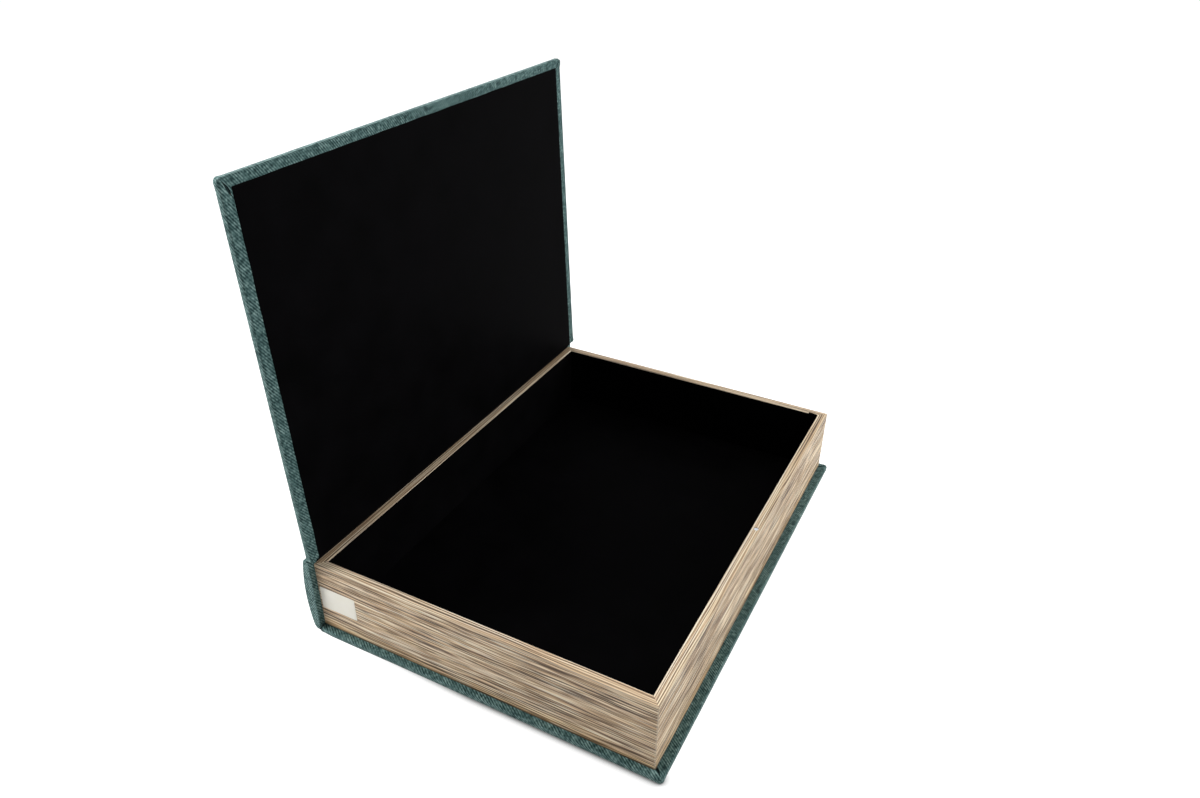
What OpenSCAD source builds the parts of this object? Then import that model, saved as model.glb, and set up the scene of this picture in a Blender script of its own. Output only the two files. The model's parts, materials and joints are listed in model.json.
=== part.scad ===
// Book box: a shallow tray whose walls look like a block of wood, inside a
// cloth-bound case of three boards. The case's front board is the lid.
// X runs along the spine, the fore edge faces -Y, the spine is at +Y.
// The origin lies on the underside of the case, below the tray's centre.
// The lid is drawn shut and then turned open about its hinge, as photographed.

/* [Tray] */
// Outside length of the tray, along the spine
tray_l = 312; // [200:1:400]
// Outside width of the tray, from spine to fore edge
tray_w = 225; // [150:1:300]
// Outside height of the tray
tray_h = 48.5; // [34:0.5:90]
// Thickness of the wall boards
wall_t = 5.4; // [4.6:0.1:8]
// Thickness of the board on the tray's floor
floor_t = 2; // [1:0.1:4]

/* [Papers] */
// Thickness of the wood-look paper on the walls
veneer_t = 0.3; // [0.2:0.05:0.5]
// How far that paper turns down inside the tray
veneer_turn = 12; // [6:0.5:18]
// Thickness of the black lining paper
lining_t = 0.3; // [0.2:0.05:0.4]
// How far the wall linings stop below the rim
lining_drop = 1.2; // [0.6:0.1:3]
// Cloth left showing on the lid's two ends, beside the lining
lid_margin_end = 6.7; // [4:0.1:12]
// Cloth left showing along the lid's fore edge
lid_margin_fore = 5.6; // [4:0.1:12]

/* [Case] */
// Thickness of the two flat boards
board_t = 3; // [2:0.1:5]
// Thickness of the book cloth
cloth_t = 0.5; // [0.4:0.05:0.8]
// How far the case stands past the tray at its two ends
end_over = 4; // [2:0.5:8]
// How far the case stands past the tray at the fore edge
fore_over = 6; // [3:0.5:10]
// Width of the cloth that is turned in over the boards
turn_in = 16; // [13:0.5:24]
// Rounding of the covered boards' edges
edge_r = 1.5; // [0.9:0.1:1.9]
// Rounding of the covered boards' corners, seen from above
corner_r = 3; // [2:0.5:4]

/* [Spine] */
// Thickness of the covered spine at the middle of its height
spine_t = 6.5; // [5:0.1:9]
// How far its thickest point lies below the middle of its height
spine_sag = 2.4; // [0:0.1:4]
// Radius of the spine's round top
nose_r = 2; // [1.5:0.1:2.4]
// Radius of the fold where the spine meets the bottom
fold_r = 5.8; // [4.5:0.1:8]

/* [Lid and hinge] */
// Angle from shut to open, where the lid leans on the spine's top
open_angle = 92.8; // [90:0.1:100]
// Clearance between the shut lid and the rim
lid_clear = 0.3; // [0.2:0.05:1]
// Clearance between the open lid and what it leans on
stop_clear = 0.3; // [0.2:0.05:0.6]
// Hinge line's distance in from the tray's back face
pivot_in = 0.5; // [0:0.1:1]
// Hinge line's depth below the top of the shut lid
pivot_depth = 1.4; // [1:0.1:2]
// Rounding of the lid's back edge
heel_r = 1; // [0.6:0.1:1.3]
// Depth that the hinge's lining strip is glued down behind the tray
strip_depth = 14; // [8:0.5:24]

/* [Magnets] */
// Diameter of the magnet in the rim
rim_magnet_d = 4; // [3:0.5:4]
// Height of the magnet in the rim
rim_magnet_h = 3; // [2:0.5:6]
// Diameter of the opening in the paper above it
rim_window_d = 3; // [2:0.1:3]
// Diameter of the magnet in the lid
lid_magnet_d = 8; // [4:0.5:10]
// Height of the magnet in the lid
lid_magnet_h = 1.8; // [1:0.1:1.9]

/* [Sticker] */
// Width of the blank sticker
sticker_w = 26.5; // [15:0.5:50]
// Height of the blank sticker
sticker_h = 16.5; // [10:0.5:20]
// Thickness of the blank sticker
sticker_t = 0.15; // [0.1:0.05:0.3]
// The sticker's distance from the tray's back face
sticker_in = 1.4; // [0.5:0.1:20]
// Height of the sticker's lower edge above the tray's underside
sticker_up = 15; // [2:0.5:18]

/* [Hidden] */
$fn = 64;
// Steps round the spine's wide arc, which needs more of them
arc_fn = 1024;

CLOTH = [0.34, 0.44, 0.42];
WOOD = [0.72, 0.62, 0.50];
BLACK = [0.03, 0.03, 0.035];
BOARD = [0.62, 0.58, 0.52];
FIBRE = [0.60, 0.47, 0.33];
STEEL = [0.75, 0.77, 0.80];
CREAM = [0.92, 0.91, 0.86];

// Heights, from the table up
case_t = board_t + 2 * cloth_t;
tray_z = case_t;
rim_z = tray_z + tray_h;
floor_top = tray_z + floor_t;
veneer_low = rim_z - veneer_turn;
lining_top = rim_z - lining_drop;

// Depths into a wall, from its outer face
wall_in = veneer_t + wall_t;
rim_w = wall_in + veneer_t;
inner_face = rim_w + lining_t;
mitre_depth = 2 * inner_face;

// Case seen from above
case_l = tray_l + 2 * end_over;
back_y = tray_w / 2;
fore_y = -tray_w / 2 - fore_over;
window_l = case_l - 2 * turn_in;

// Lid, shut
lid_z = rim_z + lid_clear + lining_t;
lid_top = lid_z + case_t;
pivot_y = back_y - pivot_in;
pivot_z = lid_top - pivot_depth;

// Spine: a wide arc from the fold at its foot to the round nose at its top
nose_z = lid_top - nose_r;
spine_mid = (fold_r + nose_z) / 2 - spine_sag;
nose_rise = nose_z - spine_mid;
arc_r = (nose_rise * nose_rise / (spine_t - 2 * nose_r) + spine_t) / 2;
arc_y = spine_t - arc_r;
fold_y = arc_y + sqrt(pow(arc_r - fold_r, 2) - pow(spine_mid - fold_r, 2));

// Lid's back edge: the open lid's round heel stops just short of the nose
nose_from_pivot = [-nose_r - pivot_in, nose_z - pivot_z];
nose_in_lid = [
    nose_from_pivot[0] * cos(open_angle) + nose_from_pivot[1] * sin(open_angle),
    nose_from_pivot[1] * cos(open_angle) - nose_from_pivot[0] * sin(open_angle)
];
heel_reach = nose_r + heel_r + stop_clear;
heel_drop = pivot_depth - heel_r - nose_in_lid[1];
heel_in = nose_in_lid[0] - heel_r + sqrt(heel_reach * heel_reach - heel_drop * heel_drop);
lid_back_y = pivot_y - heel_in;
lid_len = lid_back_y - fore_y;
lining_len = lid_len - lid_margin_fore;
lid_inner_l = case_l - 2 * lid_margin_end;

magnet_y = -tray_w / 2 + rim_w / 2;
big = 2 * (tray_l + tray_w);

// Where a point of the shut lid, as [y, z], lies once the lid is open
function opened(p) = [
    pivot_y + (p[0] - pivot_y) * cos(open_angle) + (p[1] - pivot_z) * sin(open_angle),
    pivot_z - (p[0] - pivot_y) * sin(open_angle) + (p[1] - pivot_z) * cos(open_angle)
];

// A flat outline drawn as [y, z], drawn out along X
module along_x(len) {
    rotate([90, 0, 90]) linear_extrude(len, center = true) children();
}

// A flat outline drawn as [x, z], drawn out along Y
module along_y(len) {
    rotate([90, 0, 0]) linear_extrude(len, center = true) children();
}

// Rectangle from corner low to corner high, with round corners
module round_rect(low, high, r) {
    translate([low[0] + r, low[1]]) square([high[0] - low[0] - 2 * r, high[1] - low[1]]);
    translate([low[0], low[1] + r]) square([high[0] - low[0], high[1] - low[1] - 2 * r]);
    for (x = [low[0] + r, high[0] - r], y = [low[1] + r, high[1] - r])
        translate([x, y]) circle(r);
}

// The children, swung from shut to open about the hinge line
module swung_open() {
    translate([0, pivot_y, pivot_z]) rotate([-open_angle, 0, 0])
        translate([0, -pivot_y, -pivot_z]) children();
}

// A wall's outline, drawn as [depth, height], run along one side of the tray
// with both ends mitred
module side_run(run_l) {
    intersection() {
        along_x(run_l) children();
        linear_extrude(rim_z + mitre_depth) polygon([
            [-run_l / 2, 0], [run_l / 2, 0],
            [run_l / 2 - mitre_depth, mitre_depth], [-run_l / 2 + mitre_depth, mitre_depth]
        ]);
    }
}
module front_run() { translate([0, -tray_w / 2, 0]) side_run(tray_l) children(); }
module back_run() { translate([0, tray_w / 2, 0]) rotate([0, 0, 180]) side_run(tray_l) children(); }
module left_run() { translate([-tray_l / 2, 0, 0]) rotate([0, 0, -90]) side_run(tray_w) children(); }
module right_run() { translate([tray_l / 2, 0, 0]) rotate([0, 0, 90]) side_run(tray_w) children(); }

module wall_outline() {
    translate([veneer_t, tray_z]) square([wall_t, tray_h - veneer_t]);
}
module veneer_outline() {
    translate([0, tray_z]) square([veneer_t, tray_h]);
    translate([0, rim_z - veneer_t]) square([rim_w, veneer_t]);
    translate([wall_in, veneer_low]) square([veneer_t, veneer_turn]);
}
module lining_outline() {
    translate([rim_w, floor_top]) square([lining_t, lining_top - floor_top]);
    translate([wall_in, floor_top]) square([rim_w + lining_t - wall_in, veneer_low - floor_top]);
}

// The fold at the spine's foot, as [y, z], up to this height. It starts a
// cloth's thickness early, to run into what lies before it.
module fold_outline(inset, high) {
    intersection() {
        translate([back_y + fold_y, fold_r]) circle(fold_r - inset);
        translate([back_y + fold_y - cloth_t, 0]) square([2 * fold_r, high]);
    }
}

// The spine's cross-section, as [y, z], this far in from the cloth's surface,
// between two heights
module spine_outline(inset, low, high) {
    nose_ray = [nose_r - arc_y, nose_z - spine_mid] / (arc_r - nose_r);
    fold_ray = [fold_y - arc_y, fold_r - spine_mid] / (arc_r - fold_r);
    reach = 2 * fold_r;
    intersection() {
        union() {
            translate([back_y, 0]) intersection() {
                translate([arc_y, spine_mid]) circle(arc_r - inset, $fn = arc_fn);
                polygon([
                    [inset, fold_r], [inset, nose_z], [nose_r, nose_z],
                    [nose_r, nose_z] + reach * nose_ray,
                    [fold_y, fold_r] + reach * fold_ray
                ]);
            }
            translate([back_y + nose_r, nose_z]) circle(nose_r - inset);
            fold_outline(inset, fold_r);
        }
        translate([back_y, low]) square([spine_t + fold_r, high - low]);
    }
}

// The whole case seen from above
module case_plan(inset) {
    round_rect(
        [-case_l / 2 + inset, fore_y + inset],
        [case_l / 2 - inset, back_y + spine_t - inset],
        corner_r - inset
    );
}

// A length of the spine with this cross-section, its corners rounded from above
module spine_length(inset) {
    intersection() {
        along_x(case_l - 2 * inset) children();
        linear_extrude(2 * lid_top) case_plan(inset);
    }
}

// The bottom of the case as far as the fold, inset on every free side
module bottom_slab(inset) {
    fold_start = back_y + fold_y;
    intersection() {
        along_x(case_l - 2 * inset) {
            round_rect([fore_y + inset, inset], [0, case_t - inset], edge_r - inset);
            translate([-case_t, inset]) square([fold_start + case_t, case_t - 2 * inset]);
            fold_outline(inset, case_t - inset);
        }
        along_y(big) round_rect(
            [-case_l / 2 + inset, inset], [case_l / 2 - inset, case_t - inset], edge_r - inset
        );
        linear_extrude(case_t) case_plan(inset);
    }
}

// The shut lid's board with or without its cloth, inset on every side
module lid_slab(inset) {
    intersection() {
        along_x(case_l - 2 * inset) {
            round_rect([fore_y + inset, lid_z + inset], [0, lid_top - inset], edge_r - inset);
            translate([-case_t, lid_z + inset])
                square([case_t + lid_back_y - heel_r, case_t - 2 * inset]);
            translate([-case_t, lid_z + inset])
                square([case_t + lid_back_y - inset, case_t - inset - heel_r]);
            translate([lid_back_y - heel_r, lid_top - heel_r]) circle(heel_r - inset);
        }
        along_y(big) round_rect(
            [-case_l / 2 + inset, lid_z + inset], [case_l / 2 - inset, lid_top - inset], edge_r - inset
        );
        linear_extrude(2 * lid_top) case_plan(inset);
    }
}

module bottom_board() {
    color(BOARD) intersection() {
        bottom_slab(cloth_t);
        translate([-big / 2, fore_y, 0]) cube([big, back_y + fold_y - fore_y, case_t]);
    }
}

module bottom_cloth() {
    window_y = fore_y + turn_in;
    color(CLOTH) difference() {
        bottom_slab(0);
        bottom_slab(cloth_t);
        spine_length(cloth_t) fold_outline(cloth_t, 2 * case_t);
        translate([-window_l / 2, window_y, case_t / 2])
            cube([window_l, back_y + fold_y - window_y, case_t]);
    }
}

module spine_board() {
    color(FIBRE) spine_length(cloth_t) spine_outline(cloth_t, fold_r, lid_top);
}

module spine_cloth() {
    color(CLOTH) difference() {
        spine_length(0) spine_outline(0, case_t, nose_z);
        spine_length(cloth_t) spine_outline(cloth_t, 0, lid_top);
        translate([-window_l / 2, back_y - cloth_t, 0]) cube([window_l, 2 * cloth_t, lid_top]);
    }
}

// The cloth over the spine's round top, where the lid's cloth goes on from it
module hinge_cloth() {
    color(CLOTH) difference() {
        spine_length(0) spine_outline(0, nose_z, 2 * lid_top);
        spine_length(cloth_t) spine_outline(cloth_t, 0, lid_top);
    }
}

module lid_board() {
    color(BOARD) swung_open() difference() {
        lid_slab(cloth_t);
        translate([0, magnet_y, lid_z]) cylinder(h = cloth_t + lid_magnet_h, d = lid_magnet_d);
    }
}

module lid_cloth() {
    window_y = fore_y + turn_in;
    color(CLOTH) swung_open() difference() {
        lid_slab(0);
        lid_slab(cloth_t);
        translate([-window_l / 2, window_y, lid_z - cloth_t])
            cube([window_l, lid_back_y - cloth_t - window_y, 3 * cloth_t]);
    }
}

module lid_lining() {
    window_y = fore_y + turn_in;
    color(BLACK) swung_open() {
        translate([-lid_inner_l / 2, fore_y + lid_margin_fore, lid_z - lining_t])
            cube([lid_inner_l, lining_len, lining_t]);
        translate([-window_l / 2, window_y, lid_z - lining_t])
            cube([window_l, lid_back_y - cloth_t - window_y, lining_t + cloth_t]);
    }
}

module lid_magnet() {
    color(STEEL) swung_open() translate([0, magnet_y, lid_z + cloth_t])
        cylinder(h = lid_magnet_h, d = lid_magnet_d);
}

// The black strip that goes on from the lid's lining: it crosses the joint to
// the rim's back edge and is glued down between the tray and the spine
module hinge_lining() {
    foot = 2 * lining_t;
    lid_edge = opened([lid_back_y, lid_z - lining_t]);
    run = lid_edge - [back_y, rim_z];
    way = run / norm(run);
    top = lid_edge - stop_clear * way;
    inward = lining_t * [-way[1], way[0]];
    color(BLACK) {
        along_x(lid_inner_l) polygon([
            [back_y, rim_z], [back_y, rim_z + foot], top, top + inward, [back_y - foot, rim_z]
        ]);
        along_x(window_l) translate([back_y, rim_z - strip_depth]) square([lining_t, strip_depth + foot]);
    }
}

module front_wall() {
    color(FIBRE) difference() {
        front_run() wall_outline();
        translate([0, magnet_y, rim_z - veneer_t - rim_magnet_h])
            cylinder(h = 2 * rim_magnet_h, d = rim_magnet_d);
    }
}
module back_wall() { color(FIBRE) back_run() wall_outline(); }
module left_wall() { color(FIBRE) left_run() wall_outline(); }
module right_wall() { color(FIBRE) right_run() wall_outline(); }

module front_veneer() {
    color(WOOD) difference() {
        front_run() veneer_outline();
        translate([0, magnet_y, rim_z - 2 * veneer_t]) cylinder(h = 4 * veneer_t, d = rim_window_d);
    }
}
module back_veneer() { color(WOOD) back_run() veneer_outline(); }
module left_veneer() { color(WOOD) left_run() veneer_outline(); }
module right_veneer() { color(WOOD) right_run() veneer_outline(); }

module front_lining() { color(BLACK) front_run() lining_outline(); }
module back_lining() { color(BLACK) back_run() lining_outline(); }
module left_lining() { color(BLACK) left_run() lining_outline(); }
module right_lining() { color(BLACK) right_run() lining_outline(); }

module tray_floor() {
    color(FIBRE) translate([-tray_l / 2 + wall_in, -tray_w / 2 + wall_in, tray_z])
        cube([tray_l - 2 * wall_in, tray_w - 2 * wall_in, floor_t]);
}

module floor_lining() {
    color(BLACK) translate([-tray_l / 2 + inner_face, -tray_w / 2 + inner_face, floor_top])
        cube([tray_l - 2 * inner_face, tray_w - 2 * inner_face, lining_t]);
}

module rim_magnet() {
    color(STEEL) translate([0, magnet_y, rim_z - veneer_t - rim_magnet_h])
        cylinder(h = rim_magnet_h, d = rim_magnet_d);
}

module blank_sticker() {
    color(CREAM) translate([
        -tray_l / 2 - sticker_t, back_y - sticker_in - sticker_w, tray_z + sticker_up
    ]) cube([sticker_t, sticker_w, sticker_h]);
}

bottom_board();
spine_board();
lid_board();
bottom_cloth();
spine_cloth();
hinge_cloth();
lid_cloth();
front_wall();
back_wall();
left_wall();
right_wall();
tray_floor();
front_veneer();
back_veneer();
left_veneer();
right_veneer();
front_lining();
back_lining();
left_lining();
right_lining();
floor_lining();
lid_lining();
hinge_lining();
rim_magnet();
lid_magnet();
blank_sticker();
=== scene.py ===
"""Looks of the book box: book cloth, wood-look paper, black lining, light and camera.

Lengths are in millimetres and become metres when a mesh is made. The lid's pieces are
drawn shut, as on a bench, and are then turned to the photographed, open place.
"""

import json
import math

import bmesh
import bpy
import numpy as np
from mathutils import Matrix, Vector, noise


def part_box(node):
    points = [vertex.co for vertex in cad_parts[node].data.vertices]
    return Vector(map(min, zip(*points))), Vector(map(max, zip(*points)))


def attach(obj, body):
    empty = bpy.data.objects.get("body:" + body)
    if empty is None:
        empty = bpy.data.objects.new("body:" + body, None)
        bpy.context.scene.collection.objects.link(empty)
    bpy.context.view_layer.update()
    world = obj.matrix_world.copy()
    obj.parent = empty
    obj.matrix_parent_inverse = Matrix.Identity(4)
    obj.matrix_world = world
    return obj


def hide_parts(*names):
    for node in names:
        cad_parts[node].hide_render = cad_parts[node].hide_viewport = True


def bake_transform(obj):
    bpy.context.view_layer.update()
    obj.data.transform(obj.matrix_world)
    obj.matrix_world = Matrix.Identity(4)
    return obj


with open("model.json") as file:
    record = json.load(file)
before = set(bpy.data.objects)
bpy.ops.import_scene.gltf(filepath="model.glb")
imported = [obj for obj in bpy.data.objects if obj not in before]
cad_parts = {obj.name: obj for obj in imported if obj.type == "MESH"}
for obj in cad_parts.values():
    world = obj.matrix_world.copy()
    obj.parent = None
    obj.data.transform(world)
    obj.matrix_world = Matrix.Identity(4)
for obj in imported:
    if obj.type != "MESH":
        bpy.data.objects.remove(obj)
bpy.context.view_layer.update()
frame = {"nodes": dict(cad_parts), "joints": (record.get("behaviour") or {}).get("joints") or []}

MM = 0.001

# Camera of the photograph
CAMERA_PLACE = (-444.167, -222.328, 420.47)
CAMERA_TURN = (58.5274, -0.7807, -62.6855)
CAMERA_LENS = 27.2845
CAMERA_SENSOR = 36.0

# Thickness of cloth and paper, and width of the cloth turned in over the boards
CLOTH = 0.5
PAPER = 0.3
TURN_IN = 16.0

# Case boards: rounding of edges and corners, and how far in a flap reaches on the outer
# face. The heel is the lid's edge at the hinge.
EDGE_R = 1.0
CORNER_R = 2.8
HEEL_R = 1.0
HEEL_INNER_R = 0.5
LID_BACK_CORNER_R = 1.7
PANEL_REACH = 6.0

# Spine: its section's sag and roundings, and how much deeper it is drawn than its solid
SPINE_SAG = 2.4
FOLD_R = 5.8
SPINE_INNER_EDGE_R = 0.6
SPINE_OUTER_EDGE_R = 0.8
SPINE_DEPTH = 1.12

# Crease between the spine's foot and the bottom's cloth, darkened with painted shade
FOOT_CREASE_LEAN = 0.45
FOOT_CREASE_DEPTH = 1.2
FOOT_CREASE_PAINTED_SHADE = 3.5

# Tray paper: roundings, reach down inside, the lining's drop, and the magnet's opening
RIM_EDGE_R = 0.5
TRAY_CORNER_R = 0.6
PAPER_TURN = 12.0
LINING_DROP = 0.35
MAGNET_WINDOW_R = 1.5

# Weave: spacing of the yarns both ways, and how many make one rib
WARP_PITCH = 0.58
WEFT_PITCH = 0.81
TWILL_ENDS = 3.0

# Wood look, up the sheet from its foot: the sheet's width, where the rim starts and ends,
# its lines' spacing, the wall's darker band, and how light the print is by share of width
WOOD_SHEET = 66.5
RIM_START = (47.5, 48.6)
RIM_END = (56.0, 54.9)
RIM_LINE_PITCH = 1.45
DARK_BAND = 36.0
# Its light peaks at the rim's two edges are partly the paper's light edge and partly painted
# highlight
WOOD_LEVELS = (
    (0.00, 0.40), (0.06, 0.46), (0.16, 0.52), (0.40, 0.56), (0.46, 0.48), (0.56, 0.42),
    (0.68, 0.44), (0.715, 0.48), (0.733, 0.74), (0.750, 0.54), (0.785, 0.50),
    (0.800, 0.58), (0.815, 0.70), (0.84, 0.50),
)

# The four sides, and where along the print each wall's paper is cut
WALL_OFFSETS = {"front": 0.0, "right": 700.0, "back": 1300.0, "left": 1900.0}

# Steps from a mitre to the straight side, the length over which a corner's rows go over
# into the side's, and the first points along a side
CORNER_STEPS = 6
CORNER_BLEND = 4.0
NEAR_CORNER = (0.0, 0.5, 1.1, 1.8, 2.7, 3.8, 5.2, 7.0, 9.5, 13.0)


def corners(node):
    """Lowest and highest corner of a CAD node, in millimetres."""
    low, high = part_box(node)
    return np.array(low) / MM, np.array(high) / MM


JOINT = frame["joints"][0]
PIVOT = np.array(JOINT["pos_m"]) / MM
OPEN = math.radians(JOINT["range_deg"][1])


def turned(points, angle):
    """Points turned about the hinge line by this angle, as the lid swings."""
    moved = np.array(points, float)
    y = moved[..., 1] - PIVOT[1]
    z = moved[..., 2] - PIVOT[2]
    moved[..., 1] = PIVOT[1] + y * math.cos(angle) + z * math.sin(angle)
    moved[..., 2] = PIVOT[2] - y * math.sin(angle) + z * math.cos(angle)
    return moved


def shut_corners(node):
    """Corners of a node of the lid in the shut pose, in millimetres."""
    mesh = frame["nodes"][node].data
    points = np.array([v.co for v in mesh.vertices], float) / MM
    shut = turned(points, -OPEN)
    return shut.min(0), shut.max(0)


TRAY_LOW = np.array([corners("left_veneer")[0][0], corners("front_veneer")[0][1]])
TRAY_HIGH = np.array([corners("right_veneer")[1][0], corners("back_veneer")[1][1]])
RIM_Z = corners("left_veneer")[1][2]
RIM_W = corners("left_veneer")[1][0] - TRAY_LOW[0]
VENEER_LOW = RIM_Z - PAPER_TURN
FLOOR_Z = corners("floor_lining")[1][2]
CASE_LOW, CASE_HIGH = corners("bottom_cloth")
CASE_T = CASE_HIGH[2] - CASE_LOW[2]
LID_LOW, LID_HIGH = shut_corners("lid_cloth")
LINING_LOW, LINING_HIGH = shut_corners("lid_lining")
BACK_Y = TRAY_HIGH[1]
NOSE_Z = corners("hinge_cloth")[0][2]
NOSE_R = corners("hinge_cloth")[1][2] - NOSE_Z
SPINE_T = corners("spine_cloth")[1][1] - BACK_Y


def smooth(low, high, value):
    """0 below low, 1 above high and a smooth step between."""
    t = np.clip((np.asarray(value, float) - low) / (high - low), 0.0, 1.0)
    return t * t * (3.0 - 2.0 * t)


def ripple(points, size):
    """Smooth noise from -1 to 1 at each point, with bumps about this size."""
    flat = np.reshape(points, (-1, 3)) / size
    values = [noise.noise(Vector(p)) for p in flat]
    return np.reshape(values, np.shape(points)[:-1])


def lifted(seen, height):
    """Points from their places seen from above and their heights."""
    seen = np.asarray(seen, float)
    return np.concatenate([seen, np.broadcast_to(height, seen.shape[:-1])[..., None]], -1)


def joined(*parts):
    """Arrays put together as the coordinates of points."""
    return np.stack(np.broadcast_arrays(*parts), -1)


def in_scene(name, data):
    """A new object with this data, linked to the scene."""
    made = bpy.data.objects.new(name, data)
    bpy.context.scene.collection.objects.link(made)
    return made


def spread(length, step):
    """Places along a length, close together near both ends and a step apart between."""
    near = [p for p in NEAR_CORNER if p < length / 3]
    left = length - 2 * near[-1]
    count = max(1, round(left / step))
    middle = [near[-1] + left * k / count for k in range(1, count)]
    return np.array(near + middle + [length - p for p in reversed(near)])


class Piece:
    """One mesh, gathered grid by grid, with flat sheet coordinates in millimetres."""

    def __init__(self, name):
        self.name = name
        self.points = []
        self.flat = []
        self.fold = []
        self.faces = []

    def add(self, points, flat, fold=0.0):
        """Adds a grid of points and returns their numbers."""
        points = np.asarray(points, float)
        shape = points.shape[:-1]
        first = len(self.points)
        self.points.extend(points.reshape(-1, 3))
        self.flat.extend(np.reshape(flat, (-1, 2)))
        self.fold.extend(np.broadcast_to(fold, shape).ravel())
        return np.arange(first, first + int(np.prod(shape))).reshape(shape)

    def skin(self, grid):
        """Quads over a grid of point numbers."""
        for i in range(grid.shape[0] - 1):
            for j in range(grid.shape[1] - 1):
                quad = (grid[i, j], grid[i + 1, j], grid[i + 1, j + 1], grid[i, j + 1])
                self.faces.append(quad)

    def shell(self, shown, hidden, flat, fold=0.0, edges=(True, True), caps=(True, True)):
        """A sheet between a shown and a hidden grid of points, closed where asked.

        The first grid direction runs along the sheet and the second across it.
        """
        top = self.add(shown, flat, fold)
        under = self.add(hidden, flat, fold)
        self.skin(top)
        self.skin(under)
        for index, place in enumerate((0, -1)):
            if edges[index]:
                self.skin(np.stack([top[:, place], under[:, place]]))
            if caps[index]:
                self.skin(np.stack([top[place], under[place]]))

    def rings(self, rings, flats):
        """Closed rings of points, skinned one to the next and filled at both ends."""
        numbers = [self.add(r, f) for r, f in zip(rings, flats)]
        for first, second in zip(numbers, numbers[1:]):
            self.skin(np.stack([np.append(first, first[0]), np.append(second, second[0])]))
        self.faces.append(tuple(numbers[0]))
        self.faces.append(tuple(numbers[-1]))

    def build(self, material, slot, *nodes, body="case", sharp=35.0):
        """Makes the object, merges doubled points and ties it to its body."""
        mesh = bpy.data.meshes.new(self.name)
        scaled = (np.array(self.points) * MM).tolist()
        mesh.from_pydata(scaled, [], [[int(k) for k in face] for face in self.faces])
        layer = mesh.uv_layers.new(name="Flat")
        numbers = np.zeros(len(mesh.loops), int)
        mesh.loops.foreach_get("vertex_index", numbers)
        layer.data.foreach_set("uv", np.array(self.flat)[numbers].ravel())
        # Per point: lighter edges, partly wear and partly painted sheen and highlight, and
        # painted shade in slits, tucks and creases
        fold = mesh.attributes.new("WearAndPaintedLight", "FLOAT", "POINT")
        fold.data.foreach_set("value", np.array(self.fold, np.float32))
        shape = bmesh.new()
        shape.from_mesh(mesh)
        bmesh.ops.remove_doubles(shape, verts=shape.verts, dist=2e-6)
        bmesh.ops.dissolve_degenerate(shape, edges=shape.edges, dist=1e-6)
        bmesh.ops.recalc_face_normals(shape, faces=shape.faces)
        shape.to_mesh(mesh)
        shape.free()
        mesh.polygons.foreach_set("use_smooth", [True] * len(mesh.polygons))
        mesh.set_sharp_from_angle(angle=math.radians(sharp))
        mesh.materials.append(material)
        piece = in_scene(self.name, mesh)
        if body:
            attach(piece, body)
        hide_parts(*nodes)
        return piece


class Side:
    """One side of a rectangle seen from above: its start corner, run and inward way."""

    def __init__(self, low, high, name):
        starts = {
            "front": ((low[0], low[1]), (1, 0)),
            "right": ((high[0], low[1]), (0, 1)),
            "back": ((high[0], high[1]), (-1, 0)),
            "left": ((low[0], high[1]), (0, -1)),
        }
        start, way = starts[name]
        self.start = np.array(start, float)
        self.way = np.array(way, float)
        self.inward = np.array((-way[1], way[0]), float)
        size = np.asarray(high, float)[:2] - np.asarray(low, float)[:2]
        self.length = float(abs(size @ self.way))

    def place(self, along, inset):
        """Points seen from above at these distances along the side and in from it."""
        along = np.asarray(along, float)[..., None]
        inset = np.asarray(inset, float)[..., None]
        return self.start + along * self.way + inset * self.inward


def diagonal(inset, height):
    """A plain mitre, where a row starts as far along as it is in."""
    return inset


class End:
    """How a side's sheet ends: its corner radius, and its mitres as calls of inset and height."""

    def __init__(self, radius=0.0, turned_in=diagonal, outside=diagonal):
        self.radius = radius
        self.turned_in = turned_in
        self.outside = outside


def corner_run(inset, height, end, turned_in):
    """Points from a mitre to the start of the straight side, as (along, inset).

    Within the radius they lie on half of a quarter circle. Past it they lie on the
    straight line at this inset.
    """
    share = np.linspace(0.0, 1.0, CORNER_STEPS + 1)
    if not turned_in and inset < end.radius - 0.02:
        rest = end.radius - inset
        angle = math.radians(45) * (1 + share)
        return end.radius - rest * np.cos(angle), end.radius - rest * np.sin(angle)
    mitre = end.turned_in if turned_in else end.outside
    first = mitre(inset, height)
    last = max(0.0 if turned_in else end.radius, first) + 0.4
    return first + (last - first) * share, np.full(share.shape, float(inset))


def band(side, rows, ends, turned_rows=0, step=6.0):
    """A sheet bent over one side, as (along, inset, height) by station and row.

    rows are (inset, height), of which the first turned_rows end at the turn-in's mitre.
    """
    runs = []
    for index, (inset, height) in enumerate(rows[:, :2]):
        turned_in = index < turned_rows
        first = corner_run(inset, height, ends[0], turned_in)
        last = corner_run(inset, height, ends[1], turned_in)
        start = first[0][-1]
        end = side.length - last[0][-1]
        share = spread(side.length, step)[1:-1] / side.length
        straight = start + (end - start) * share
        along = np.concatenate([first[0], straight, side.length - last[0][::-1]])
        inward = np.concatenate([first[1], np.full(len(share), inset), last[1][::-1]])
        runs.append(np.stack([along, inward, np.full(len(along), height)], -1))
    return np.stack(runs, 1)


def arc(centre, radius, first, last, steps):
    """Points on an arc with the outward way at each, as rows of four numbers."""
    angle = np.radians(np.linspace(first, last, steps + 1))
    way = np.stack([np.cos(angle), np.sin(angle)], -1)
    return np.concatenate([np.array(centre) + radius * way, way], -1)


def line(start, end, way, shares):
    """Points on a straight stretch, all with the same outward way."""
    start = np.array(start, float)
    end = np.array(end, float)
    return np.array([[*(start + (end - start) * s), *way] for s in shares])


def run_length(rows):
    """Distance along a profile up to each of its rows."""
    steps = np.linalg.norm(np.diff(rows[:, :2], axis=0), axis=1)
    return np.concatenate([[0.0], np.cumsum(steps)])


# Materials


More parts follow.
